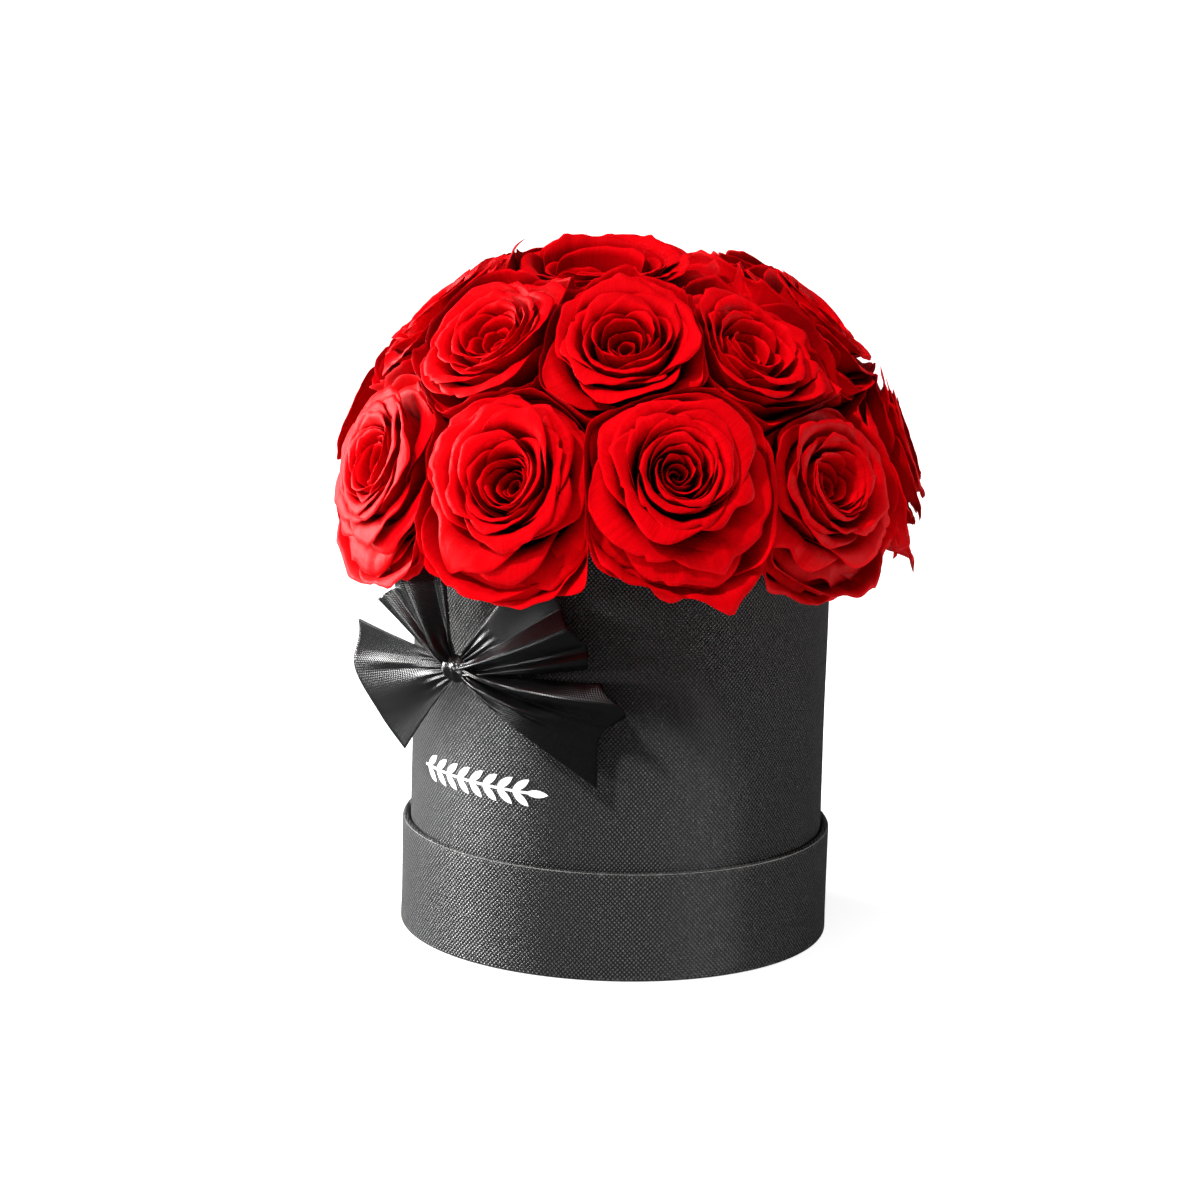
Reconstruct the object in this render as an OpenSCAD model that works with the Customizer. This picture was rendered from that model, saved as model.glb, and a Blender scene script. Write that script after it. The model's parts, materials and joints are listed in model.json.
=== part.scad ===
// Hat box flower arrangement: a round paper-covered box standing in its own upturned lid,
// filled with foam, with a dome of rose heads on stems and a ribbon bow on the wall.
// Millimetres, +Z up, origin at the middle of the lid's underside, -Y is the bow side.

/* [Lid, used as the base] */
// Outside radius of the lid
lid_r = 78; // [77:0.5:84]
// Height of the lid
lid_h = 39.3; // [25:0.1:60]

/* [Box] */
// Outside radius of the box
box_r = 75; // [72:0.5:75]
// Height of the box's rim above the surface it all stands on
rim_z = 158; // [150:1:160]

/* [Board and paper] */
// Thickness of the grey board
board_t = 2; // [1.5:0.1:2.5]
// Thickness of the covering and lining papers
paper_t = 0.3; // [0.2:0.05:0.35]
// How far the covering paper is turned in over a rim
turn_in = 14; // [8:1:20]
// How far the covering paper is turned in under a disc
turn_under = 10; // [6:1:14]
// Gap between the box and the lid under and around it
slip_gap = 0.4; // [0.3:0.05:0.5]

/* [Foam] */
// Radius of the foam plug in the box
plug_r = 71.6; // [69:0.1:72]
// Height of the plug's flat top
plug_z = 150; // [148:1:152]
// Radius of the foam half ball on the plug
dome_r = 58; // [50:1:59]

/* [Roses] */
// Largest radius of a lower rose head
lower_rose_r = 25; // [20:0.5:25]
// Largest radius of an upper rose head
upper_rose_r = 20; // [16:0.5:20]
// Largest radius of the top rose head
top_rose_r = 30; // [24:0.5:30]
// Radius of a stem
stem_r = 1.6; // [1:0.1:1.6]
// Length of a stem
stem_l = 26; // [20:1:26]

/* [Bow] */
// Turn of the bow's knot around the box from the front
bow_turn = -4.6; // [-10:0.2:10]
// Height of the knot
knot_z = 105.6; // [100:0.2:110]
// Thickness of a pleated ribbon wing
wing_t = 1.2; // [0.8:0.1:1.6]

/* [Hidden] */
// Each ring of roses: [distance from the axis, tilt above level]
lower_ring = [84, 24];
upper_ring = [58, 48];
// Where each rose of a ring has settled: [turn from the front, height]
lower_places = [
    [53, 179], [90, 171], [133, 175], [173, 175], [213, 175],
    [253, 175], [293, 175], [-21, 171], [16, 174]
];
upper_places = [
    [41, 214], [82, 209], [131, 214], [176, 214],
    [221, 214], [266, 214], [-49, 213], [-3, 212]
];

$fn = 128;

// Heights where the box's layers meet the lid's
lid_floor_z = 2 * paper_t + board_t;
box_z = lid_floor_z + slip_gap;
box_floor_z = box_z + 2 * paper_t + board_t;

// The top rose stands a little off the axis and leans towards a turn
top_off = 9;
top_off_turn = -48;
top_z = 235.5;
top_lean = 12;
top_lean_turn = 27;
// Depths of a head behind and before its widest section
lower_depth = [20, 17];
upper_depth = [18, 14];
top_depth = [19, 18];
calyx_h = 4;

// Bow outline, in the plane that touches the wall at the knot: [across, height over the knot]
pinch_r = 3.6;
right_upper = [[0, -1], [0, pinch_r], [21, 29], [29, 40], [43, 37], [47, 24], [49, 16], [51, 3]];
right_lower = [[0, 1], [0, -pinch_r], [22, -26], [46, -36], [51, -36], [58, -6], [51, 1]];
left_upper = [[0, -1], [0, pinch_r], [-3, 33], [-6, 40], [-14, 40], [-31, 25], [-41, 18]];
left_lower = [[0, 1], [0, -pinch_r], [-15, -30], [-23, -34], [-37, -27], [-48, -16], [-53, -4], [-51, 9]];
knot_out = 5.4;
knot_w = 10;
knot_h = 7.4;
glue_t = 0.6;
glue_r = 5;
// The pad is flat and the ribbon over it is curved, so their edges need this much room
glue_gap = 0.2;

// Ornament: a sprig of leaf pairs on a fine stalk, with one leaf at its tip
ornament_z = 65;
ornament_w = 60;
ornament_t = 0.1;
stalk_h = 0.9;
stalk_end = 2;
leaf_l = 8;
leaf_w = 2.7;
leaf_step = 6.4;
leaf_pairs = 8;
leaf_lean = 37;

// Colours
charcoal = [0.07, 0.07, 0.08];
lining_black = [0.04, 0.04, 0.045];
board_grey = [0.45, 0.43, 0.4];
foam_green = [0.2, 0.33, 0.2];
petal_red = [0.75, 0.02, 0.03];
stem_green = [0.2, 0.35, 0.12];
satin_black = [0.02, 0.02, 0.022];

// A ring or, with no inside radius, a disc
module ring(outer, inner, low, high) {
    translate([0, 0, low])
        difference() {
            cylinder(r = outer, h = high - low);
            if (inner > 0)
                translate([0, 0, -1]) cylinder(r = inner, h = high - low + 2);
        }
}

// Covering paper: up the outside of a wall, over its rim, in behind it and under its disc
module wrapped_paper(outer, low, high) {
    inner = outer - board_t - 2 * paper_t;
    rotate_extrude()
        polygon([
            [outer - turn_under, low],
            [outer, low],
            [outer, high],
            [inner, high],
            [inner, high - turn_in],
            [inner + paper_t, high - turn_in],
            [inner + paper_t, high - paper_t],
            [outer - paper_t, high - paper_t],
            [outer - paper_t, low + paper_t],
            [outer - turn_under, low + paper_t]
        ]);
}

// One layer of a disc: 0 is the covering paper, 1 the board and 2 the lining paper
module disc_cover(outer, low) ring(outer - turn_under, 0, low, low + paper_t);
module disc_board(outer, low) ring(outer - paper_t - board_t, 0, low + paper_t, low + paper_t + board_t);
module disc_lining(outer, low) {
    top = low + 2 * paper_t + board_t;
    ring(outer - paper_t - board_t, 0, top - paper_t, top);
}

module wall_board(outer, low, high)
    ring(outer - paper_t, outer - paper_t - board_t, low + paper_t, high - paper_t);
module wall_lining(outer, low, high) {
    face = outer - paper_t - board_t;
    ring(face, face - paper_t, low + 2 * paper_t + board_t, high - turn_in);
}

module lid_top_cover() color(charcoal) disc_cover(lid_r, 0);
module lid_top_board() color(board_grey) disc_board(lid_r, 0);
module lid_top_lining() color(lining_black) disc_lining(lid_r, 0);
module lid_wall_board() color(board_grey) wall_board(lid_r, 0, lid_h);
module lid_wall_cover() color(charcoal) wrapped_paper(lid_r, 0, lid_h);
module lid_wall_lining() color(lining_black) wall_lining(lid_r, 0, lid_h);

module box_bottom_cover() color(charcoal) disc_cover(box_r, box_z);
module box_bottom_board() color(board_grey) disc_board(box_r, box_z);
module box_bottom_lining() color(lining_black) disc_lining(box_r, box_z);
module box_wall_board() color(board_grey) wall_board(box_r, box_z, rim_z);
module box_wall_cover() color(charcoal) wrapped_paper(box_r, box_z, rim_z);
module box_wall_lining() color(lining_black) wall_lining(box_r, box_z, rim_z);

module foam_plug() color(foam_green) ring(plug_r, 0, box_floor_z, plug_z);

module foam_dome() color(foam_green)
    translate([0, 0, plug_z])
        rotate_extrude()
            intersection() {
                circle(r = dome_r);
                square(dome_r);
            }

// Puts its children, made along +Z, at a place on a ring with +Z turned outwards and tilted up
module on_ring(ring, place)
    rotate([0, 0, place[0]])
        translate([0, -ring[0], place[1]])
            rotate([90 - ring[1], 0, 0])
                children();

module on_top()
    translate([top_off * sin(top_off_turn), -top_off * cos(top_off_turn), top_z])
        rotate([0, 0, top_lean_turn])
            rotate([top_lean, 0, 0])
                children();

// Rose head: a cup of petals on its calyx, widest at height 0
module rose_head(r, depth)
    color(petal_red)
        rotate_extrude($fn = 48)
            polygon([
                [0, -depth[0]],
                [0.2 * r, -depth[0]],
                [0.3 * r, -0.62 * depth[0]],
                [0.76 * r, -0.4 * depth[0]],
                [r, 0],
                [r, 0.35 * depth[1]],
                [0.86 * r, 0.72 * depth[1]],
                [0.6 * r, 0.93 * depth[1]],
                [0.3 * r, depth[1]],
                [0, depth[1]]
            ]);

// Stem under a rose head, with the calyx's cone where they meet
module rose_stem(r, depth)
    color(stem_green)
        rotate_extrude($fn = 48)
            polygon([
                [0, -depth[0]],
                [0.2 * r, -depth[0]],
                [stem_r, -depth[0] - calyx_h],
                [stem_r, -depth[0] - stem_l],
                [0, -depth[0] - stem_l]
            ]);

module rose_head_lower(i) on_ring(lower_ring, lower_places[i - 1]) rose_head(lower_rose_r, lower_depth);
module rose_head_upper(i) on_ring(upper_ring, upper_places[i - 1]) rose_head(upper_rose_r, upper_depth);
module rose_head_top() on_top() rose_head(top_rose_r, top_depth);
module rose_stem_lower(i) on_ring(lower_ring, lower_places[i - 1]) rose_stem(lower_rose_r, lower_depth);
module rose_stem_upper(i) on_ring(upper_ring, upper_places[i - 1]) rose_stem(upper_rose_r, upper_depth);
module rose_stem_top() on_top() rose_stem(top_rose_r, top_depth);

// Turns a bow outline upright and makes it reach from one distance off the axis to another
module upright(outline, near, far)
    translate([0, -near, knot_z])
        rotate([90, 0, 0])
            linear_extrude(far - near)
                polygon(outline);

// A right wing lies round the wall and a left wing runs straight off it
module bow_ribbon(right, left, near)
    color(satin_black)
        rotate([0, 0, bow_turn]) {
            intersection() {
                ring(near + wing_t, near, 0, rim_z);
                upright(right, box_r / 2, near + 2 * wing_t);
            }
            upright(left, near, near + wing_t);
        }

module bow_ribbon_lower() bow_ribbon(right_lower, left_lower, box_r + glue_t);
module bow_ribbon_upper() bow_ribbon(right_upper, left_upper, box_r + glue_t + wing_t);

module bow_glue_pad()
    color([0.8, 0.8, 0.75])
        rotate([0, 0, bow_turn])
            translate([0, -box_r, knot_z])
                rotate([90, 0, 0])
                    cylinder(r = glue_r, h = glue_t - glue_gap, $fn = 48);

// The knot is a band of ribbon pulled over the pinch
module bow_knot()
    color(satin_black)
        rotate([0, 0, bow_turn])
            translate([0, -box_r - glue_t - 2 * wing_t, knot_z])
                rotate([0, 90, 0])
                    linear_extrude(knot_w, center = true)
                        intersection() {
                            scale([knot_h / 2, knot_out - 2 * wing_t]) circle(r = 1, $fn = 40);
                            translate([-knot_h, -knot_out]) square([2 * knot_h, knot_out]);
                        }

module leaf()
    intersection_for (side = [-1, 1])
        translate([0, side * (leaf_l * leaf_l - leaf_w * leaf_w) / (4 * leaf_w)])
            circle(r = (leaf_l * leaf_l + leaf_w * leaf_w) / (4 * leaf_w), $fn = 90);

// Printed ornament on the front of the wall
module front_ornament()
    color("white")
        intersection() {
            ring(box_r + ornament_t, box_r, 0, rim_z);
            translate([0, 0, ornament_z])
                rotate([90, 0, 0])
                    linear_extrude(2 * box_r) {
                        for (i = [0:leaf_pairs - 1], side = [-1, 1])
                            translate([i * leaf_step + stalk_end - ornament_w / 2, 0])
                                rotate(side * leaf_lean)
                                    translate([leaf_l / 2, 0])
                                        leaf();
                        translate([(ornament_w - leaf_l) / 2, 0]) leaf();
                        translate([-leaf_l / 4, 0])
                            square([ornament_w - leaf_l / 2, stalk_h], center = true);
                    }
        }

lid_top_cover();
lid_top_board();
lid_top_lining();
lid_wall_board();
lid_wall_cover();
lid_wall_lining();
box_bottom_cover();
box_bottom_board();
box_bottom_lining();
box_wall_board();
box_wall_cover();
box_wall_lining();
foam_plug();
foam_dome();
front_ornament();
bow_glue_pad();
bow_ribbon_lower();
bow_ribbon_upper();
bow_knot();
for (i = [1:len(lower_places)]) {
    rose_head_lower(i);
    rose_stem_lower(i);
}
for (i = [1:len(upper_places)]) {
    rose_head_upper(i);
    rose_stem_upper(i);
}
rose_head_top();
rose_stem_top();
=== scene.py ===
"""Looks for the flower box: paper box and lid, a dome of roses, a satin bow. Metres, in the CAD's frame."""
import json
from math import atan2, cos, degrees, pi, radians, sin

import bpy
import numpy as np
from mathutils import Matrix, Quaternion, Vector


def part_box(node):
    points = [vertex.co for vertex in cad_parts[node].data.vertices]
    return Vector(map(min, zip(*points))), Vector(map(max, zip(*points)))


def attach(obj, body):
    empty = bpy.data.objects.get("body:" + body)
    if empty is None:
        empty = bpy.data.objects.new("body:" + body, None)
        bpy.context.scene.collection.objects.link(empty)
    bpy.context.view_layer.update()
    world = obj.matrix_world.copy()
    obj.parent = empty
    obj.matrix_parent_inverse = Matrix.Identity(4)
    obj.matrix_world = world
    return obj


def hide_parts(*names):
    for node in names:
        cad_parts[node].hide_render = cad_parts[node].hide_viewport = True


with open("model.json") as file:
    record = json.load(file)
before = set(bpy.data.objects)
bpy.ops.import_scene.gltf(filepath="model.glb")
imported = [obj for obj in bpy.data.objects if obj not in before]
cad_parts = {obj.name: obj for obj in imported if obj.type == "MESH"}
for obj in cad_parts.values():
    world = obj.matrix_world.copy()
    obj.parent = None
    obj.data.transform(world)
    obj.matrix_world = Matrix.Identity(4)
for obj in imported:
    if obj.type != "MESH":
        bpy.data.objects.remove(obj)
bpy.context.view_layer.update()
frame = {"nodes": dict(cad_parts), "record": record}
MM = 0.001
BOX, LID = "flower_box", "base_lid"

# ---------------------------------------------------------------- sizes from the frame
wall_low, wall_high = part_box("box_wall_cover")
lid_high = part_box("lid_wall_cover")[1]
BOX_R, RIM_Z, BOX_Z = wall_high.x, wall_high.z, wall_low.z
LID_R, LID_H = lid_high.x, lid_high.z
# How thick the paper and the board are, and how far the paper is turned in at the rim and under the disc
PAPER, BOARD = 0.0003, 0.002
TURN_IN, TURN_UNDER = 0.014, 0.010


# ---------------------------------------------------------------- camera, floor and light
VIEW_TURN, VIEW_RISE, VIEW_DISTANCE = 42.0, 13.8, 1.5325
LOOKED_AT = Vector((0, 0, 0.08))
AIM_RIGHT, AIM_UP = -0.0080, 0.0389
CAMERA_ROLL = 1.618
LENS, SENSOR = 126.06, 36


def facing(turn, rise):
    """Unit vector out from the axis at a turn from the front and a rise above level, in degrees."""
    t, e = radians(turn), radians(rise)
    return Vector((sin(t) * cos(e), -cos(t) * cos(e), sin(e)))


def make_camera():
    data = bpy.data.cameras.new("camera")
    data.lens, data.sensor_width = LENS, SENSOR
    data.clip_start, data.clip_end = 0.1, 20
    cam = bpy.data.objects.new("camera", data)
    bpy.context.scene.collection.objects.link(cam)
    back = facing(VIEW_TURN, VIEW_RISE)
    right = Vector((0, 0, 1)).cross(back).normalized()
    up = back.cross(right)
    eye = LOOKED_AT + back * VIEW_DISTANCE
    aim = LOOKED_AT + right * AIM_RIGHT + up * AIM_UP
    cam.location = eye
    cam.rotation_mode = "QUATERNION"
    level = (aim - eye).to_track_quat("-Z", "Y")
    cam.rotation_quaternion = level @ Quaternion((0, 0, 1), radians(CAMERA_ROLL))
    bpy.context.scene.camera = cam


def make_light(name, kind, turn, rise, distance, energy, size):
    data = bpy.data.lights.new(name, kind)
    data.energy = energy
    if kind == "SUN":
        data.angle = radians(size)
    else:
        data.shape, data.size = "DISK", size
    lamp = bpy.data.objects.new(name, data)
    bpy.context.scene.collection.objects.link(lamp)
    back = facing(turn, rise)
    lamp.location = Vector((0, 0, 0.15)) + back * distance
    lamp.rotation_mode = "QUATERNION"
    lamp.rotation_quaternion = back.to_track_quat("Z", "Y")
    lamp.visible_camera = False


def make_world():
    """White behind the object, and a much weaker white light from all round."""
    scene = bpy.context.scene
    scene.view_settings.view_transform = "Standard"
    world = bpy.data.worlds.new("studio")
    scene.world = world
    world.use_nodes = True
    nodes, links = world.node_tree.nodes, world.node_tree.links
    nodes.clear()
    seen = nodes.new("ShaderNodeBackground")
    seen.inputs["Strength"].default_value = 1.0
    fill = nodes.new("ShaderNodeBackground")
    fill.inputs["Strength"].default_value = 0.13
    rays = nodes.new("ShaderNodeLightPath")
    mix = nodes.new("ShaderNodeMixShader")
    out = nodes.new("ShaderNodeOutputWorld")
    for shade in (seen, fill):
        shade.inputs["Color"].default_value = (1, 1, 1, 1)
    links.new(rays.outputs["Is Camera Ray"], mix.inputs[0])
    links.new(fill.outputs[0], mix.inputs[1])
    links.new(seen.outputs[0], mix.inputs[2])
    links.new(mix.outputs[0], out.inputs[0])


def make_lights():
    """A sun as the key light, and discs from both sides and over the flowers."""
    make_light("key", "SUN", VIEW_TURN - 54, 50, 2, 3.8, 5)
    make_light("side", "AREA", VIEW_TURN - 116, 4, 1.0, 30, 0.5)
    make_light("far_side", "AREA", VIEW_TURN + 104, -3, 1.2, 5, 0.3)
    make_light("over", "AREA", VIEW_TURN, 75, 1.1, 7, 0.7)
    make_light("near_side", "AREA", VIEW_TURN - 66, 2, 1.2, 8, 0.2)


def make_floor():
    """A pale floor that glows a little, and looks dark in reflections so that the paper stays dark."""
    bpy.ops.mesh.primitive_circle_add(vertices=96, radius=7, fill_type="NGON")
    floor = bpy.context.object
    floor.name = "studio_floor"
    floor.location.z = -0.0002
    paint = bpy.data.materials.new("studio_floor")
    paint.use_nodes = True
    shader = paint.node_tree.nodes["Principled BSDF"]
    shader.inputs["Base Color"].default_value = (0.55, 0.55, 0.55, 1)
    shader.inputs["Emission Color"].default_value = (1, 1, 1, 1)
    shader.inputs["Roughness"].default_value = 0.9
    shader.inputs["Specular IOR Level"].default_value = 0.1
    darker = paint.node_tree.nodes.new("ShaderNodeBsdfDiffuse")
    darker.inputs["Color"].default_value = (0.06, 0.06, 0.06, 1)
    rays = paint.node_tree.nodes.new("ShaderNodeLightPath")
    glow = paint.node_tree.nodes.new("ShaderNodeMapRange")
    glow.inputs["To Min"].default_value = 0.65
    glow.inputs["To Max"].default_value = 0.85
    mix = paint.node_tree.nodes.new("ShaderNodeMixShader")
    for start, end in ((rays.outputs["Is Camera Ray"], glow.inputs[0]),
                       (glow.outputs[0], shader.inputs["Emission Strength"]),
                       (rays.outputs["Is Glossy Ray"], mix.inputs[0]), (shader.outputs[0], mix.inputs[1]),
                       (darker.outputs[0], mix.inputs[2]),
                       (mix.outputs[0], paint.node_tree.nodes["Material Output"].inputs[0])):
        paint.node_tree.links.new(start, end)
    floor.data.materials.append(paint)


# ---------------------------------------------------------------- mesh helpers
def mesh_object(name, points, faces, material, marks=None):
    """A smooth piece from points in metres and quads. marks is four numbers a point, for its material."""
    data = bpy.data.meshes.new(name)
    points, faces = np.asarray(points, float), np.asarray(faces, int)
    data.vertices.add(len(points))
    data.vertices.foreach_set("co", points.ravel())
    data.loops.add(faces.size)
    data.loops.foreach_set("vertex_index", faces.ravel())
    data.polygons.add(len(faces))
    data.polygons.foreach_set("loop_start", np.arange(0, faces.size, faces.shape[1]))
    data.polygons.foreach_set("use_smooth", np.ones(len(faces), bool))
    data.update(calc_edges=True)
    if marks is not None:
        layer = data.attributes.new("marks", "FLOAT_COLOR", "POINT")
        layer.data.foreach_set("color", np.asarray(marks, float).ravel())
    data.validate()
    data.materials.append(material)
    piece = bpy.data.objects.new(name, data)
    bpy.context.scene.collection.objects.link(piece)
    return piece


def grid_faces(rows, columns, start=0, around=False):
    """Quads of a grid of points; around joins its last row to its first."""
    i = np.arange(rows if around else rows - 1)[:, None]
    j = np.arange(columns - 1)[None, :]
    below, above = i * columns + j, (i + 1) % rows * columns + j
    return np.stack([below, above, above + 1, below + 1], -1).reshape(-1, 4) + start


def grid_normals(grid):
    across, along = np.gradient(grid, axis=0), np.gradient(grid, axis=1)
    normal = np.cross(across, along)
    return normal / np.maximum(np.linalg.norm(normal, axis=-1, keepdims=True), 1e-12)


# How thick the rim of a sheet is, as a share of the rest
RIM_SHARE = 0.45


def thick_sheet(grid, thickness, start=0):
    """Points and quads of a closed sheet around a grid of points, thinner along its rim."""
    rows, columns = grid.shape[:2]
    normal = grid_normals(grid)
    half = np.full((rows, columns, 1), thickness / 2)
    half[[0, -1]] *= RIM_SHARE
    half[:, [0, -1]] *= RIM_SHARE
    points = np.concatenate([(grid + normal * half).reshape(-1, 3), (grid - normal * half).reshape(-1, 3)])
    count = rows * columns
    front = grid_faces(rows, columns, start)
    back = grid_faces(rows, columns, start + count)[:, ::-1]
    index = np.arange(count).reshape(rows, columns)
    edge = np.concatenate([index[0, :-1], index[:-1, -1], index[-1, :0:-1], index[:0:-1, 0]]) + start
    after = np.roll(edge, -1)
    rim = np.stack([edge, after, after + count, edge + count], -1)
    return points, np.concatenate([front, back, rim])


def smooth_step(x, low, high):
    x = np.clip((x - low) / (high - low), 0, 1)
    return x * x * (3 - 2 * x)


# ---------------------------------------------------------------- material helpers
class Recipe:
    """Short calls for building one node material."""

    def __init__(self, name, color, roughness):
        self.material = bpy.data.materials.new(name)
        self.material.use_nodes = True
        self.tree = self.material.node_tree
        self.shader = self.tree.nodes["Principled BSDF"]
        self.set("Base Color", color if len(color) == 4 else (*color, 1))
        self.set("Roughness", roughness)

    def set(self, socket, value):
        self.shader.inputs[socket].default_value = value

    def node(self, kind, _out=0, **given):
        """Adds a node and returns one output. sockets holds its inputs by name or number, the rest are properties."""
        made = self.tree.nodes.new("ShaderNode" + kind)
        sockets = given.pop("sockets", {})
        for key, value in given.items():
            setattr(made, key, value)
        for key, value in sockets.items():
            self.link(value, made.inputs[key])
        return made.outputs[_out]

    def link(self, value, socket):
        if isinstance(value, bpy.types.NodeSocket):
            self.tree.links.new(value, socket)
        else:
            socket.default_value = value

    def math(self, operation, *values):
        return self.node("Math", operation=operation, sockets=dict(enumerate(values)))

    def noise(self, place, scale, detail=2.0, roughness=0.5):
        given = {"Vector": place, "Scale": scale, "Detail": detail, "Roughness": roughness}
        return self.node("TexNoise", sockets=given)

    def mapped(self, value, low, high, to_low=0.0, to_high=1.0):
        given = {0: value, 1: low, 2: high, 3: to_low, 4: to_high}
        return self.node("MapRange", sockets=given)

    def mix(self, share, first, second, blend="MIX"):
        made = self.tree.nodes.new("ShaderNodeMix")
        made.data_type, made.blend_type = "RGBA", blend
        for socket, value in zip((made.inputs[0], made.inputs[6], made.inputs[7]), (share, first, second)):
            if isinstance(value, tuple) and len(value) == 3:
                value = (*value, 1)
            self.link(value, socket)
        return made.outputs[2]

    def place(self):
        return self.node("TexCoord", _out=3)

    def parts(self, vector):
        made = self.tree.nodes.new("ShaderNodeSeparateXYZ")
        self.link(vector, made.inputs[0])
        return made.outputs

    def marks(self):
        """The four numbers that a piece's points carry."""
        made = self.tree.nodes.new("ShaderNodeAttribute")
        made.attribute_name = "marks"
        split = self.tree.nodes.new("ShaderNodeSeparateColor")
        self.tree.links.new(made.outputs["Color"], split.inputs[0])
        return [*split.outputs, made.outputs["Alpha"]]

    def color(self, value):
        self.link(value, self.shader.inputs["Base Color"])

    def roughness(self, value):
        self.link(value, self.shader.inputs["Roughness"])

    def bump(self, height, distance, strength=1.0):
        made = self.node("Bump", sockets={"Height": height, "Distance": distance, "Strength": strength})
        self.link(made, self.shader.inputs["Normal"])


# ---------------------------------------------------------------- materials
EMBOSS_PITCH = 0.00155


def textured_paper():
    """Charcoal paper embossed with fine crossing diagonals, with painted shade in the grooves and pale dots of
    painted sparkle, worn paler along the wrapped rims.
    """
    m = Recipe("textured_paper", (0.02, 0.02, 0.021), 0.5)
    place = m.place()
    x, y, z = m.parts(place)
    turn = m.math("ARCTAN2", x, y)
    radius = m.math("SQRT", m.math("ADD", m.math("MULTIPLY", x, x), m.math("MULTIPLY", y, y)))
    flat = m.math("GREATER_THAN", m.math("ABSOLUTE", m.parts(m.node("NewGeometry", _out=1))[2]), 0.9)
    round_way = m.math("MULTIPLY", turn, 0.075)
    across = m.node("Mix", data_type="FLOAT", sockets={0: flat, 2: round_way, 3: x})
    up = m.node("Mix", data_type="FLOAT", sockets={0: flat, 2: z, 3: y})
    wobble = m.math("MULTIPLY", m.math("SUBTRACT", m.noise(place, 260.0), 0.5), 0.0006)
    waves = []
    for sign in ("ADD", "SUBTRACT"):
        slant = m.math("ADD", m.math(sign, across, m.math("MULTIPLY", up, 0.9)), wobble)
        waves.append(m.math("ABSOLUTE", m.math("SINE", m.math("MULTIPLY", slant, pi / EMBOSS_PITCH))))
    grain = m.math("MINIMUM", waves[0], waves[1])
    fine = m.noise(place, 2200.0, 3.0, 0.6)
    height = m.math("ADD", grain, m.math("MULTIPLY", fine, 0.35))
    m.bump(height, 0.0006, 1.0)
    cloud = m.noise(place, 14.0, 3.0)
    tone = m.mix(m.mapped(cloud, 0.3, 0.7), (0.035, 0.035, 0.0355), (0.046, 0.046, 0.0465))
    # painted shade: the emboss's grooves are coloured near black, standing in for the shade that falls in them
    tone = m.mix(m.mapped(grain, 0.2, 0.7, 1.0, 0.0), tone, (0.0008, 0.0008, 0.0009))
    # painted sparkle: pale random dots stand in for glints on the embossing
    painted_sparkle = m.mapped(m.noise(place, 1500.0, 1.0), 0.66, 0.74)
    tone = m.mix(m.math("MULTIPLY", painted_sparkle, 0.35), tone, (0.2, 0.2, 0.205))
    rims = [m.mapped(m.math("ABSOLUTE", m.math("SUBTRACT", z, rim)), 0.0002, 0.0022, 1.0, 0.0)
            for rim in (LID_H, 0.0)]
    wear = m.mapped(m.noise(place, 420.0, 4.0, 0.7), 0.5, 0.66)
    # the lid's worn rim stays off the box's wall behind it
    rims[0] = m.math("MULTIPLY", rims[0], m.math("GREATER_THAN", radius, BOX_R + 0.0006))
    worn = m.math("MULTIPLY", m.math("MAXIMUM", *rims), wear)
    m.color(m.mix(m.math("MULTIPLY", worn, 0.6), tone, (0.12, 0.12, 0.125)))
    m.set("Specular IOR Level", 0.35)
    m.roughness(m.mapped(m.math("ADD", grain, m.noise(place, 900.0, 2.0)), 0.5, 1.3, 0.7, 0.36))
    return m.material


def plain_paper(name, dark, pale, rough):
    """Smooth lining paper with a little fibre."""
    m = Recipe(name, pale, rough)
    place = m.place()
    fibre = m.noise(place, 700.0, 5.0, 0.7)
    m.color(m.mix(m.mapped(fibre, 0.3, 0.7), dark, pale))
    m.roughness(m.mapped(m.noise(place, 60.0, 2.0), 0.3, 0.7, rough - 0.08, rough + 0.05))
    m.bump(fibre, 0.00006, 0.5)
    return m.material


def grey_board():
    m = Recipe("grey_board", (0.42, 0.4, 0.37), 0.9)
    place = m.place()
    flecks = m.mapped(m.noise(place, 1300.0, 2.0), 0.62, 0.7)
    cloud = m.mix(m.mapped(m.noise(place, 120.0, 4.0), 0.3, 0.7), (0.36, 0.34, 0.31), (0.47, 0.45, 0.42))
    m.color(m.mix(flecks, cloud, (0.16, 0.15, 0.14)))
    m.bump(m.noise(place, 900.0, 4.0), 0.0001, 0.6)
    return m.material


def floral_foam():
    m = Recipe("floral_foam", (0.03, 0.05, 0.03), 0.95)
    place = m.place()
    cells = m.node("TexVoronoi", sockets={"Vector": place, "Scale": 900.0})
    m.color(m.mix(m.mapped(cells, 0.1, 0.6), (0.004, 0.007, 0.004), (0.012, 0.02, 0.012)))
    m.bump(cells, 0.0006, 0.9)
    return m.material


def white_print():
    """Matte ink that breaks up a little over the embossing."""
    m = Recipe("white_print", (0.85, 0.85, 0.85), 0.6)
    place = m.place()
    skip = m.mapped(m.noise(place, 1800.0, 2.0), 0.58, 0.72)
    m.color(m.mix(m.math("MULTIPLY", skip, 0.35), (0.88, 0.88, 0.88), (0.5, 0.5, 0.5)))
    m.bump(m.noise(place, 1500.0, 2.0), 0.00008, 0.6)
    return m.material


def hot_glue():
    m = Recipe("hot_glue", (0.75, 0.73, 0.66), 0.3)
    place = m.place()
    m.color(m.mix(m.noise(place, 300.0, 3.0), (0.66, 0.64, 0.56), (0.82, 0.8, 0.74)))
    m.bump(m.noise(place, 250.0, 2.0), 0.0003, 0.5)
    return m.material


# From one thread to the next across and along the ribbon, in millimetres
WARP_PITCH, WEFT_PITCH = 0.8, 0.9


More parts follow.
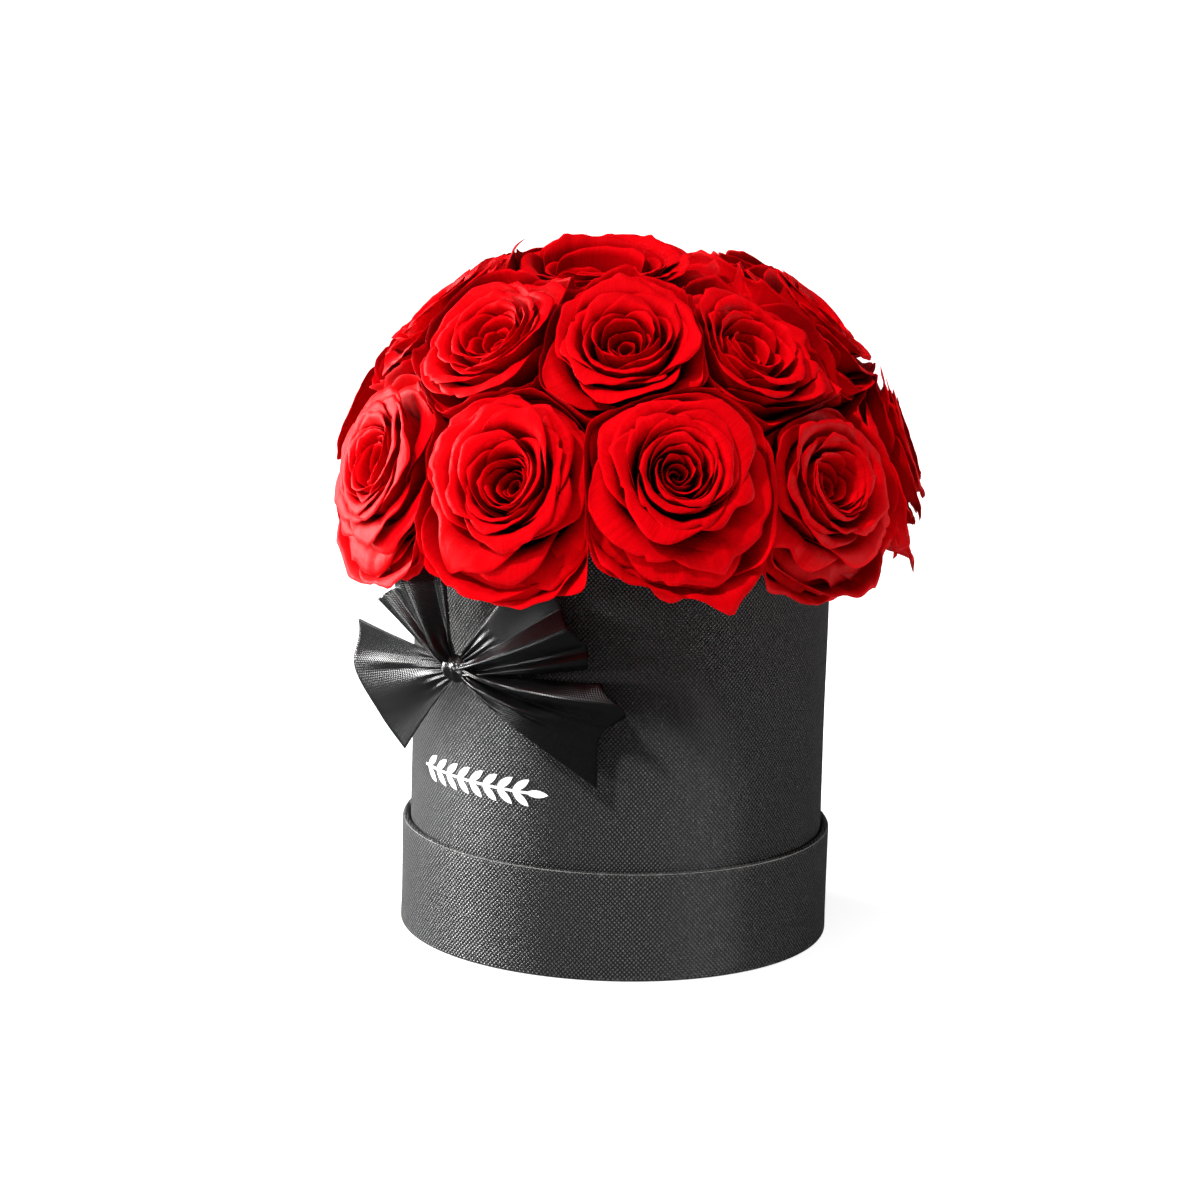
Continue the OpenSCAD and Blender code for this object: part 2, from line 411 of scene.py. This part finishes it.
def satin_ribbon():
    """Black satin with fine threads both ways and a paler selvedge. marks hold millimetres / 100."""
    m = Recipe("satin_ribbon", (0.006, 0.006, 0.0065), 0.3)
    along, across, edge, _ = m.marks()
    warp = m.math("SINE", m.math("MULTIPLY", across, 100 * 2 * pi / WARP_PITCH))
    weft = m.math("SINE", m.math("ADD", m.math("MULTIPLY", along, 100 * 2 * pi / WEFT_PITCH),
                                 m.math("MULTIPLY", across, 100 * pi / WARP_PITCH)))
    threads = m.math("ADD", m.math("MULTIPLY", warp, 0.35), m.math("MULTIPLY", weft, 0.65))
    m.bump(threads, 0.00004, 0.8)
    place = m.place()
    cloud = m.mapped(m.noise(place, 400.0, 3.0), 0.3, 0.7)
    tone = m.mix(cloud, (0.0012, 0.0012, 0.0013), (0.002, 0.002, 0.0022))
    tone = m.mix(m.mapped(threads, -1.0, 1.0, 0.0, 0.4), tone, (0.004, 0.004, 0.0044))
    m.color(m.mix(m.math("MULTIPLY", edge, 0.5), tone, (0.03, 0.03, 0.032)))
    m.roughness(m.mapped(m.noise(place, 800.0, 2.0), 0.3, 0.7, 0.215, 0.255))
    m.set("Specular IOR Level", 0.36)
    return m.material


def rose_petal():
    """Velvety red, with painted shade towards a petal's foot, where the petals shade each other deep in the head, and
    fine veins along it.
    """
    m = Recipe("rose_petal", (0.7, 0.004, 0.008), 0.55)
    along, across, own, layer = m.marks()
    fan = m.math("MULTIPLY", m.math("SUBTRACT", across, 0.5), 46.0)
    lines = m.tree.nodes.new("ShaderNodeCombineXYZ")
    for socket, value in zip(lines.inputs, (fan, m.math("MULTIPLY", along, 2.6), m.math("MULTIPLY", own, 40.0))):
        m.link(value, socket)
    veins = m.noise(lines.outputs[0], 1.0, 4.0, 0.65)
    place = m.place()
    nap = m.noise(place, 1400.0, 3.0, 0.6)
    crumple = m.noise(place, 160.0, 3.0, 0.55)
    height = m.math("ADD", m.math("MULTIPLY", veins, 0.55), m.math("MULTIPLY", crumple, 0.9))
    m.bump(m.math("ADD", height, m.math("MULTIPLY", nap, 0.16)), 0.0005, 0.5)
    body = m.mix(m.mapped(veins, 0.3, 0.7), (0.47, 0.0, 0.0015), (0.62, 0.0003, 0.003))
    body = m.mix(m.mapped(own, 0.0, 1.0, 0.0, 0.4), body, (0.3, 0.0, 0.001))
    # painted shade: near black towards a petal's foot, reaching further out along the inner petals, for the shade
    # deep inside the head
    foot = m.mapped(along, m.mapped(layer, 0.0, 1.0, 0.5, 0.3), m.mapped(layer, 0.0, 1.0, 1.0, 0.86), 1.0, 0.0)
    body = m.mix(foot, body, (0.02, 0.0, 0.0002))
    lip = m.mapped(along, 0.965, 1.0)
    m.color(m.mix(m.math("MULTIPLY", lip, 0.3), body, (0.7, 0.002, 0.006)))
    m.roughness(m.mapped(nap, 0.3, 0.7, 0.5, 0.66))
    m.set("Specular IOR Level", 0.045)
    m.set("Specular Tint", (1, 0.1, 0.1, 1))
    m.set("Sheen Weight", 0.03)
    m.set("Sheen Roughness", 0.4)
    m.set("Sheen Tint", (1, 0.05, 0.06, 1))
    return m.material


def rose_stem():
    m = Recipe("rose_stem", (0.16, 0.27, 0.09), 0.6)
    place = m.place()
    m.color(m.mix(m.noise(place, 260.0, 4.0), (0.08, 0.16, 0.04), (0.24, 0.36, 0.14)))
    m.bump(m.noise(place, 600.0, 4.0), 0.0003, 0.6)
    return m.material


MATERIALS = {
    "textured_paper": textured_paper(),
    "grey_board": grey_board(),
    "lining_paper": plain_paper("lining_paper", (0.018, 0.018, 0.019), (0.03, 0.03, 0.031), 0.72),
    "floral_foam": floral_foam(),
    "white_print": white_print(),
    "hot_glue": hot_glue(),
    "satin_ribbon": satin_ribbon(),
    "rose_petal": rose_petal(),
    "rose_stem": rose_stem(),
}


def finish_cad_nodes():
    """Every CAD node shows its slot's material, whether or not a piece stands for it later."""
    for part in frame["record"]["subparts"]:
        data = frame["nodes"][part["node"]].data
        data.materials.clear()
        data.materials.append(MATERIALS[part["material_slot"]])


# ---------------------------------------------------------------- paper covers
def arc(centre, radius, start, end, steps):
    """Points (distance from the axis, height) along an arc; angles in degrees from straight out."""
    return [(centre[0] + radius * cos(radians(a)), centre[1] + radius * sin(radians(a)))
            for a in np.linspace(start, end, steps)]


def cover_profile(outer, low, high):
    """Closed outline of the paper: under the disc, up the wall, round the rim and in behind it."""
    inner = outer - BOARD - 2 * PAPER
    bend, bend_in, foot = 0.0011, 0.0009, 0.0008
    outside = [(outer - TURN_UNDER, low)]
    outside += arc((outer - foot, low + foot), foot, -90, 0, 5)
    outside += [(outer, z) for z in np.linspace(low + 0.004, high - 0.004, 12)]
    outside += arc((outer - bend, high - bend), bend, 0, 90, 7)
    outside += arc((inner + bend_in, high - bend_in), bend_in, 90, 180, 6)
    outside += [(inner, high - TURN_IN)]
    inside = [(inner + PAPER, high - TURN_IN)]
    inside += arc((inner + bend_in, high - bend_in), bend_in - PAPER, 180, 90, 6)
    inside += arc((outer - bend, high - bend), bend - PAPER, 90, 0, 7)
    inside += [(outer - PAPER, z) for z in np.linspace(high - 0.004, low + 0.004, 12)]
    inside += arc((outer - foot, low + foot), foot - PAPER, 0, -90, 5)
    inside += [(outer - TURN_UNDER, low + PAPER)]
    return np.array(outside), np.array(inside)


# Where the edges of the paper's overlap lie on each side of its middle, in radians
SEAM_IN, SEAM_OUT = 0.068, 0.075


def paper_cover(node, outer, low, high, seed):
    """The wrapped paper of a wall, with its glued overlap at the back and the board's faint unevenness."""
    outside, inside = cover_profile(outer, low, high)
    profile = np.concatenate([outside, inside])
    skin = np.concatenate([np.ones(len(outside)), np.zeros(len(inside))])
    turns = np.linspace(0, 2 * pi, 288, endpoint=False)
    rng = np.random.default_rng(seed)
    dents = sum(a * np.sin(k * turns + p) for k, a, p in
                zip((3, 5, 9, 14), (0.00006, 0.00005, 0.00003, 0.00002), rng.uniform(0, 6, 4)))
    height = profile[:, 1]
    wave = 0.5 + 0.5 * np.sin(height * 90 + rng.uniform(0, 6))
    sink = (dents[:, None] - 0.00016) * wave[None, :] * smooth_step(height, low, low + 0.01)[None, :]
    overlap = 0.00022 * smooth_step(turns, pi / 2 - SEAM_OUT, pi / 2 - SEAM_IN)
    overlap *= 1 - smooth_step(turns, pi / 2 + SEAM_IN, pi / 2 + SEAM_OUT)
    radius = profile[None, :, 0] + (sink + overlap[:, None] * 0.6) * skin[None, :]
    radius = np.minimum(radius, outer)
    points = np.stack([radius * np.cos(turns)[:, None], radius * np.sin(turns)[:, None],
                       np.broadcast_to(height, radius.shape)], -1)
    count = len(profile)
    faces = grid_faces(len(turns), count, around=True)
    i = np.arange(len(turns))
    ends = np.stack([i * count + count - 1, (i + 1) % len(turns) * count + count - 1,
                     (i + 1) % len(turns) * count, i * count], -1)
    piece = mesh_object(node + "_paper", points.reshape(-1, 3), np.concatenate([faces, ends]),
                        MATERIALS["textured_paper"])
    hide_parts(node)
    return piece


# ---------------------------------------------------------------- roses
# How a petal changes from the middle of a head (0) to its outside (1), in millimetres and degrees. The last
# entry is the guard petals, which cup the whole head from behind.
LAYER = (0.0, 0.12, 0.26, 0.42, 0.58, 0.74, 0.88, 1.0, 1.12, 1.3, 1.5)
RIM_OUT = (1.4, 4.0, 7.6, 11.8, 16.6, 21.6, 26.0, 29.6, 32.0, 34.0, 35.0)
RIM_UP = (4.0, 8.0, 12.6, 15.6, 16.2, 14.2, 10.4, 5.2, -1.5, -9.0, 4.0)
ROLL = (0.5, 0.6, 0.8, 1.2, 1.8, 2.6, 3.4, 4.2, 4.8, 5.4, 5.0)
CURL = (30, 36, 46, 60, 76, 90, 102, 110, 116, 108, 66)
LIP = (0.3, 0.5, 0.9, 1.5, 2.3, 3.1, 3.8, 4.2, 4.4, 4.6, 1.5)
LEAN = (-12, -8, -2, 5, 13, 23, 34, 45, 54, 60, 34)
HALF_WIDTH = (5.0, 7.5, 10.5, 14.0, 17.5, 20.5, 22.5, 24.0, 24.5, 24.5, 31.0)
WAVE = (6, 10, 15, 21, 27, 33, 36, 36, 34, 30, 16)
GUARD, GUARDS = 1.5, 7
PETAL_TURN = 137.508
PETAL_THICKNESS = 0.3


def at_layer(table, t):
    return float(np.interp(t, LAYER, table))


def ripple(u, rng, pieces=3, spread=1.0):
    """A smooth random line over u, about -1 to 1."""
    line = np.zeros_like(u)
    for k in range(1, pieces + 1):
        line += rng.uniform(-1, 1) / k ** 0.6 * np.sin(pi * k * u * spread + rng.uniform(0, 2 * pi))
    return line


def petal(t, turn, rose, rng, rows, columns):
    """Grid of one petal's points in the head's own frame in millimetres, and its marks."""
    opened, bowl, foot_z = rose.opened, rose.bowl, rose.foot_z
    folded = 0.68 + 0.32 * opened
    u = np.linspace(-1, 1, rows)
    wide = np.abs(u)
    corner = rng.uniform(-0.45, 0.45)
    beside = np.abs(u - corner)
    curl = radians(1) * (at_layer(CURL, t) * folded + rng.normal(0, 8)
                         + at_layer(WAVE, t) * (0.6 * ripple(u, rng) + 1.1 * beside ** 1.2 - 0.5))
    lean = radians(at_layer(LEAN, t) * folded ** 2 + rng.normal(0, 3))
    curl = np.maximum(curl, lean + 0.25)
    roll = at_layer(ROLL, t) * rng.uniform(0.8, 1.25)
    lip = at_layer(LIP, t) * folded * (1 + 0.25 * ripple(u, rng)) * rng.uniform(0.8, 1.2)
    middle_curl = radians(at_layer(CURL, t) * folded)
    fold_r = at_layer(RIM_OUT, t) - roll * (cos(lean) - cos(middle_curl)) - at_layer(LIP, t) * sin(middle_curl)
    fold_r = max(fold_r, 0.9) + rng.normal(0, 0.2 + 0.4 * min(t, 1))
    fold_z = at_layer(RIM_UP, t) - roll * (sin(middle_curl) - sin(lean)) - at_layer(LIP, t) * cos(middle_curl)
    fold_z += 7 * (1 - opened) * smooth_step(t, 0.5, 1.0) + rng.normal(0, 0.5 + 0.6 * min(t, 1))
    fold_z -= bowl * np.exp(-((t - 0.38) / 0.2) ** 2)

    # the cup, as a Bezier curve from the foot to the fold
    rise = fold_z - foot_z
    p0 = np.array([0.7 + 1.6 * t, foot_z])
    p1 = np.array([p0[0] + 0.62 * fold_r * min(1, t + 0.35), foot_z + 0.12 * rise])
    p3 = np.array([fold_r, fold_z])
    p2 = p3 - 0.45 * rise * np.array([sin(lean), cos(lean)])
    q = np.linspace(0, 1, 40)[:, None]
    cup = (1 - q) ** 3 * p0 + 3 * q * (1 - q) ** 2 * p1 + 3 * q * q * (1 - q) * p2 + q ** 3 * p3
    along = np.concatenate([[0], np.cumsum(np.linalg.norm(np.diff(cup, axis=0), axis=1))])
    cup_length = along[-1]

    # the outline: rounded shoulders and a point off the middle, with a nick or two on outer petals
    reach = 1 - (0.05 + 0.05 * t) * beside ** 1.3 - (0.12 + 0.1 * t) * wide ** 5
    reach += (0.008 + 0.02 * t) * np.exp(-(beside / 0.09) ** 1.5) + 0.008 * ripple(u, rng, 5)
    for _ in range(rng.integers(0, 3) if t > 0.6 else 0):
        reach -= rng.uniform(0.01, 0.04) * np.exp(-((u - rng.uniform(-0.7, 0.7)) / 0.04) ** 2)
    bend = np.maximum(curl - lean, 0.05)
    full = cup_length + roll * bend + lip
    steps = np.linspace(0, 1, columns) ** 0.8
    s = steps[None, :] * (reach * full)[:, None]

    r = np.interp(s, along, cup[:, 0])
    z = np.interp(s, along, cup[:, 1])
    over = np.maximum(s - cup_length, 0)
    angle = lean + np.minimum(over / roll, bend[:, None])
    straight = np.maximum(over - roll * bend[:, None], 0)
    r += roll * (cos(lean) - np.cos(angle)) + straight * np.sin(angle)
    z += roll * (np.sin(angle) - sin(lean)) + straight * np.cos(angle)

    # widen from the foot, and wind round the axis a little further out on one side
    width = at_layer(HALF_WIDTH, t) * rng.uniform(0.92, 1.1)
    spread = 0.34 + 0.66 * smooth_step(steps, 0.0, 0.62)
    swing = np.minimum(width * spread[None, :] / np.maximum(r, 2.0), 2.9) * u[:, None]
    r = r + 3.2 * swing / (2 * pi) * smooth_step(steps, 0.1, 0.7)[None, :]
    theta = turn + swing
    # soft crumples that grow towards the rim
    shake = (0.12 + 0.5 * t) * smooth_step(steps, 0.4, 1.0)[None, :]
    crumple = ripple(u, rng, 4, 1.6)[:, None] * 0.7 + 0.4 * np.sin(steps * rng.uniform(5, 9) + rng.uniform(0, 6))
    r = r + shake * crumple
    z = z + 0.6 * shake * ripple(u, rng, 5, 2.0)[:, None]
    grid = np.stack([r * np.cos(theta), r * np.sin(theta), z], -1)
    marks = np.empty((rows, columns, 4))
    marks[..., 0] = s / full[:, None]
    marks[..., 1] = (u[:, None] + 1) / 2
    marks[..., 2] = rng.uniform()
    marks[..., 3] = min(t, 1)
    return grid, marks


def rose_petals(rose, seed, count, down):
    """Every petal of a head, in its own frame. down is the way down there, for the petals that hang."""
    rng = np.random.default_rng(seed)
    grown = [(rose.outermost * i / (count - 1), radians(PETAL_TURN) * i + rng.normal(0, 0.2)) for i in range(count)]
    grown += [(rng.uniform(1.12, 1.2), atan2(down[1], down[0]) + turn + rng.normal(0, 0.1)) for turn in rose.hanging]
    grown += [(GUARD, 2 * pi * (i + rng.uniform(-0.2, 0.2)) / GUARDS) for i in range(GUARDS)]
    off_middle = rng.uniform(-2.4, 2.4, 2)
    stretch = 1 + rng.uniform(-0.05, 0.05) * np.array([1, -1])
    petals = []
    for t, turn in grown:
        rows, columns = (23, 16) if t < 0.3 else (29, 20) if t < 0.65 else (35, 22)
        grid, marks = petal(t, turn, rose, rng, rows, columns)
        tilt = Matrix.Rotation(rng.normal(0, 0.02 + 0.03 * t), 3, "X") @ Matrix.Rotation(
            rng.normal(0, 0.02 + 0.03 * t), 3, "Y")
        grid = grid @ np.array(tilt).T
        near = np.exp(-(np.hypot(grid[..., 0], grid[..., 1]) / 15) ** 2)
        grid[..., :2] = grid[..., :2] * stretch + off_middle * near[..., None]
        petals.append((grid, marks))
    return petals


class Rose:
    """One head: its node, its middle and axis, its size, and how it is grown."""

    def __init__(self, node, rise, size, outermost, opened, turn=None, bowl=0.0, hanging=(), foot_z=-17.0):
        low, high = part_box(node)
        self.node, self.size, self.outermost, self.opened, self.bowl = node, size, outermost, opened, bowl
        self.hanging, self.foot_z = hanging, foot_z
        self.middle = (low + high) / 2
        if turn is None:
            turn = degrees(atan2(self.middle.x, -self.middle.y))
        self.out = facing(turn, rise)


# Turns of the petals that hang, from straight down, in radians
HANGING = (-0.8, 0.0, 0.8)
# How far the middle of the top head is over the foot of its CAD node
TOP_MIDDLE_UP = 0.0095


def all_roses():
    roses = []
    for part in frame["record"]["subparts"]:
        node = part["node"]
        if node.startswith("rose_head_lower"):
            rose = Rose(node, rise=24, size=1.19, outermost=1.15, opened=1.0, hanging=HANGING)
        elif node.startswith("rose_head_upper"):
            rose = Rose(node, rise=48, size=1.12, outermost=1.25, opened=0.75, hanging=HANGING)
        elif node.startswith("rose_head_top"):
            rose = Rose(node, rise=78, size=1.36, outermost=1.15, opened=0.6, turn=VIEW_TURN - 15, bowl=6.0,
                        foot_z=-4.5)
            rose.middle.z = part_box(node)[0].z + TOP_MIDDLE_UP
        else:
            continue
        roses.append(rose)
    return roses


ROSES = all_roses()


# How far a pressed petal stands up for each millimetre that it is pressed back
STAND_UP = 0.45
# Heads closer than this press on each other
NEIGHBOUR = 0.085


def press_apart(points, rose):
    """Petals that would reach into a neighbour's space are pressed back from it, and stand up a little.
    Returns how far each point was pressed."""
    soft = 0.0045
    pressed = np.zeros(len(points))
    for other in ROSES:
        gap = other.middle - rose.middle
        if other is rose or gap.length > NEIGHBOUR:
            continue
        away = np.array(gap.normalized())
        share = rose.size / (rose.size + other.size)
        place = np.array(rose.middle + gap * share)
        depth = (place - points) @ away
        inside = depth < soft
        moved = depth[inside] - soft * np.exp((depth[inside] - soft) / soft)
        outward = np.array(rose.out) - np.dot(rose.out, away) * away
        outward /= np.linalg.norm(outward)
        points[inside] += moved[:, None] * away - STAND_UP * moved[:, None] * outward
        pressed[inside] += np.abs(moved)
    return pressed


# The dome that the heads are pressed into: its widest reach from the axis at each height
DOME_Z = (0.120, 0.141, 0.152, 0.163, 0.180, 0.196, 0.212, 0.229, 0.245, 0.260)
DOME_R = (0.107, 0.1095, 0.1105, 0.1100, 0.1065, 0.1010, 0.0915, 0.075, 0.052, 0.020)


def within_dome(points):
    """Petals that would stand out of the dome lie back against it."""
    distance = np.hypot(points[:, 0], points[:, 1])
    most = np.interp(points[:, 2], DOME_Z, DOME_R)
    soft = 0.009
    depth = most - distance
    kept = np.where(depth < soft, soft * np.exp(np.minimum(depth - soft, 0) / soft), depth)
    points[:, :2] *= ((most - kept) / np.maximum(distance, 1e-6))[:, None]
    return points


# Directions in degrees round from the front: the middle of the stretch where petals stand off the bow, and of
# the stretch where they are raised over it. RAISED_Z is the lowest that they hang there.
OFF_BOW_TURN, RAISED_TURN = 8, 17
RAISED_Z, RAISED_SOFT = 0.1335, 0.010


def clear_of_box(points):
    """Petals hang over the rim and lie against the wall. Over the bow they hang less low and stand off it."""
    x, y, z = points.T
    distance = np.hypot(x, y)
    turn = np.degrees(np.arctan2(x, -y))
    over_bow = smooth_step(-np.abs(turn - OFF_BOW_TURN), -48, -38) * smooth_step(-z, -0.158, -0.150)
    least = BOX_R + 0.0012 + 0.006 * over_bow
    below = smooth_step(-z, -RIM_Z - 0.006, -RIM_Z - 0.0015)
    soft = 0.004
    depth = distance - least
    near = depth < soft
    pushed = np.where(near, soft * np.exp(np.minimum(depth - soft, 0) / soft), depth) + least
    scale = 1 + (pushed / np.maximum(distance, 1e-6) - 1) * below
    points[:, 0] *= scale
    points[:, 1] *= scale
    lifted = RAISED_Z + RAISED_SOFT * np.exp(np.minimum((z - RAISED_Z - RAISED_SOFT) / RAISED_SOFT, 0))
    lift = smooth_step(-np.abs(turn - RAISED_TURN), -32, -18) * np.maximum(lifted - z, 0)
    points[:, 2] += np.where(z < RAISED_Z + RAISED_SOFT, lift, 0)
    return points


def make_rose(rose, seed, spin, count, droop):
    turned = rose.out.to_track_quat("Z", "Y") @ Quaternion((0, 0, 1), radians(spin))
    matrix = np.array(turned.to_matrix())
    all_points, all_faces, all_marks, start = [], [], [], 0
    for grid, marks in rose_petals(rose, seed, count, -matrix[2, :2]):
        place = grid * MM * rose.size @ matrix.T + np.array(rose.middle)
        flat = place.reshape(-1, 3)
        side = np.linalg.norm(grid[..., :2], axis=-1).reshape(-1)
        # petals sink under their own weight past 20 mm from the head's axis
        flat[:, 2] -= droop * np.maximum(side - 20, 0) ** 2 / 150 * MM
        # painted shade: petals pressed against a neighbouring head count as nearer their foot, so they take more of
        # the petal's painted shade
        painted_press_shade = smooth_step(press_apart(flat, rose), 0.001, 0.012).reshape(grid.shape[:2])
        marks[..., 0] *= 1 - 0.5 * painted_press_shade
        if rose.node != "rose_head_top":
            flat = within_dome(flat)
        flat = clear_of_box(flat)
        place = flat.reshape(grid.shape)
        points, faces = thick_sheet(place, PETAL_THICKNESS * MM, start)
        all_points.append(points)
        all_faces.append(faces)
        all_marks.append(np.concatenate([marks.reshape(-1, 4)] * 2))
        start += len(points)
    piece = mesh_object(rose.node + "_petals", np.concatenate(all_points), np.concatenate(all_faces),
                        MATERIALS["rose_petal"], np.concatenate(all_marks))
    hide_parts(rose.node)
    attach(piece, BOX)


def make_roses():
    rng = np.random.default_rng(11)
    for index, rose in enumerate(ROSES):
        lower = "lower" in rose.node
        make_rose(rose, seed=100 + index, spin=rng.uniform(0, 360), count=36 if lower else 34,
                  droop=3.0 if lower else 0.5)


# ---------------------------------------------------------------- bow
BOW_TURN = -4.6
KNOT_Z = 0.1056
RIBBON_WIDTH, RIBBON_THICKNESS = 0.040, 0.00035
WING_ROWS, WING_COLUMNS = 81, 53
BOW_OUT = BOX_R + 0.0034


def to_bow(x, y, z):
    """Millimetres across, out from the pinch and up from the knot, turned to the row's frame."""
    turn = radians(BOW_TURN)
    level = np.array([cos(turn), sin(turn), 0.0])
    out = np.array([sin(turn), -cos(turn), 0.0])
    return x[..., None] * MM * level + (BOW_OUT + y * MM)[..., None] * out + (
        z[..., None] * MM + KNOT_Z) * np.array([0, 0, 1.0])


def round_the_wall(x, y, z):
    """The same, with x measured round the wall and not straight off it."""
    turn = x * MM / (BOX_R + 0.002)
    distance = BOW_OUT / MM + y
    return to_bow(distance * np.sin(turn), distance * np.cos(turn) - BOW_OUT / MM, z)


def wing(top, bottom, edge, hug, lift, folds, gather=0.75):
    """One half of a ribbon, from the pinch (column 0) to its cut end. Row 0 is its upper selvedge. edge is
    how far its cut end stands out at each place across. A fold is (place across, half its width, its height in
    millimetres, how far along it reaches). gather is the height of the fine gathers by the knot."""
    w = np.linspace(0, 1, WING_ROWS)[:, None]
    f = np.linspace(0, 1, WING_COLUMNS)[None, :]
    end_x = top[0] + (bottom[0] - top[0]) * w + edge(w)
    end_z = top[1] + (bottom[1] - top[1]) * w
    x = end_x * f
    z = (0.5 - w) * 5.6 * (1 - f) ** 1.6 + end_z * f ** 1.12
    y = lift[0] * np.sin(pi * f) + lift[1] * f ** 2 + np.zeros_like(w)
    for centre, half_width, height, reach in folds:
        near = np.clip((w - centre) / half_width, -1, 1)
        grow = smooth_step(f, -0.1, 0.3) * (1 - smooth_step(f, reach * 0.5, reach))
        y = y + height * grow * (1.22 - np.sqrt(near ** 2 + 0.06)) ** 1.1
    gathered = smooth_step(f, 0.0, 0.08) * (1 - smooth_step(f, 0.12, 0.5))
    y = y + gather * gathered * np.cos(13 * pi * w + 0.8) * (1 - 0.5 * w)
    return hug(x, y, z)


def ribbon(name, node, left, right):
    """One length of ribbon, both wings in one piece through the pinch."""
    grid = np.concatenate([left[:, :0:-1], right], axis=1)
    rows, columns = grid.shape[:2]
    points, faces = thick_sheet(grid, RIBBON_THICKNESS)
    step = np.linalg.norm(np.diff(grid, axis=1), axis=-1).mean(axis=0)
    along = np.concatenate([[0], np.cumsum(step)])
    marks = np.zeros((rows, columns, 4))
    marks[..., 0] = along[None, :] * 10
    marks[..., 1] = np.linspace(0, RIBBON_WIDTH, rows)[:, None] * 10
    marks[..., 2] = (np.minimum(np.arange(rows), np.arange(rows)[::-1]) < 1)[:, None]
    piece = mesh_object(name, points, faces, MATERIALS["satin_ribbon"],
                        np.concatenate([marks.reshape(-1, 4)] * 2))
    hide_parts(node)
    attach(piece, BOX)


def make_knot():
    """The narrow band pulled over the pinch, with shallow creases along it."""
    turns = np.linspace(0, 2 * pi, 48, endpoint=False)
    across = np.linspace(-1, 1, 17)
    shrink = 1 - 0.16 * across[None, :] ** 2 + 0.05 * np.sin(across * 7)[None, :]
    crease = 1 + 0.06 * np.sin(turns * 5 + 0.6)[:, None] * np.cos(across * 2)[None, :]
    y = 0.6 + 3.0 * np.cos(turns)[:, None] * shrink * crease
    z = 4.7 * np.sin(turns)[:, None] * shrink * crease
    x = np.broadcast_to(across * 5.5, y.shape) + 0.5 * np.cos(turns)[:, None]
    outside = to_bow(x, y, z)
    inside = to_bow(x, 0.6 + (y - 0.6) * 0.86, z * 0.88)
    rows, columns = y.shape
    faces = np.concatenate([grid_faces(rows, columns, around=True)[:, ::-1],
                            grid_faces(rows, columns, rows * columns, around=True)])
    i = np.arange(rows)
    after = (i + 1) % rows
    for column, flip in ((0, 1), (columns - 1, -1)):
        rim = np.stack([i, after, after + rows, i + rows], -1) * columns + column
        faces = np.concatenate([faces, rim[:, ::flip]])
    marks = np.zeros((2, rows, columns, 4))
    # about the band's radius and half its width, in the ribbon's hundreds of millimetres
    marks[..., 0] = turns[None, :, None] * 0.035
    marks[..., 1] = across[None, None, :] * 0.048
    marks[..., [0, columns - 1], 2] = 1
    piece = mesh_object("bow_knot_band", np.concatenate([outside.reshape(-1, 3), inside.reshape(-1, 3)]),
                        faces, MATERIALS["satin_ribbon"], marks.reshape(-1, 4))
    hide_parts("bow_knot")
    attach(piece, BOX)


def make_bow():
    left_upper = wing((-6, 44), (-41, 18), lambda w: 1.2 * np.sin(9 * w), to_bow, (0.0, 0.8),
                      [(0.08, 0.1, 1.4, 1.6), (0.5, 0.26, 6.0, 2.6), (0.92, 0.12, 2.2, 2.4)])
    right_upper = wing((30, 42), (52, 7), lambda w: 5 * np.sin(pi * w) + 1.5 * np.sin(3 * pi * w), round_the_wall,
                       (0.4, 0.6), [(0.6, 0.2, 5.8, 2.8), (0.89, 0.13, 4.2, 2.4)])
    left_lower = wing((-51, 9.4), (-23, -33.6), lambda w: -12 * np.sin(pi * w) ** 1.2 + 1.2 * np.sin(12 * w), to_bow,
                      (0.3, 3.2), [(0.36, 0.1, 1.0, 1.1), (0.62, 0.3, 1.5, 1.6)], gather=0.4)
    right_lower = wing((56, 2.4), (56, -35.6), lambda w: 9 * np.exp(-((w - 0.26) / 0.16) ** 2), round_the_wall,
                       (0.2, 0.4), [(0.2, 0.2, 6.4, 2.6), (0.54, 0.13, 5.4, 0.9)])
    ribbon("bow_ribbon_upper_satin", "bow_ribbon_upper", left_upper, right_upper)
    ribbon("bow_ribbon_lower_satin", "bow_ribbon_lower", left_lower, right_lower)
    make_knot()


# ---------------------------------------------------------------- build
make_camera()
make_world()
make_lights()
make_floor()
finish_cad_nodes()
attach(paper_cover("box_wall_cover", BOX_R, BOX_Z, RIM_Z, 3), BOX)
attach(paper_cover("lid_wall_cover", LID_R, 0.0, LID_H, 5), LID)
make_roses()
make_bow()
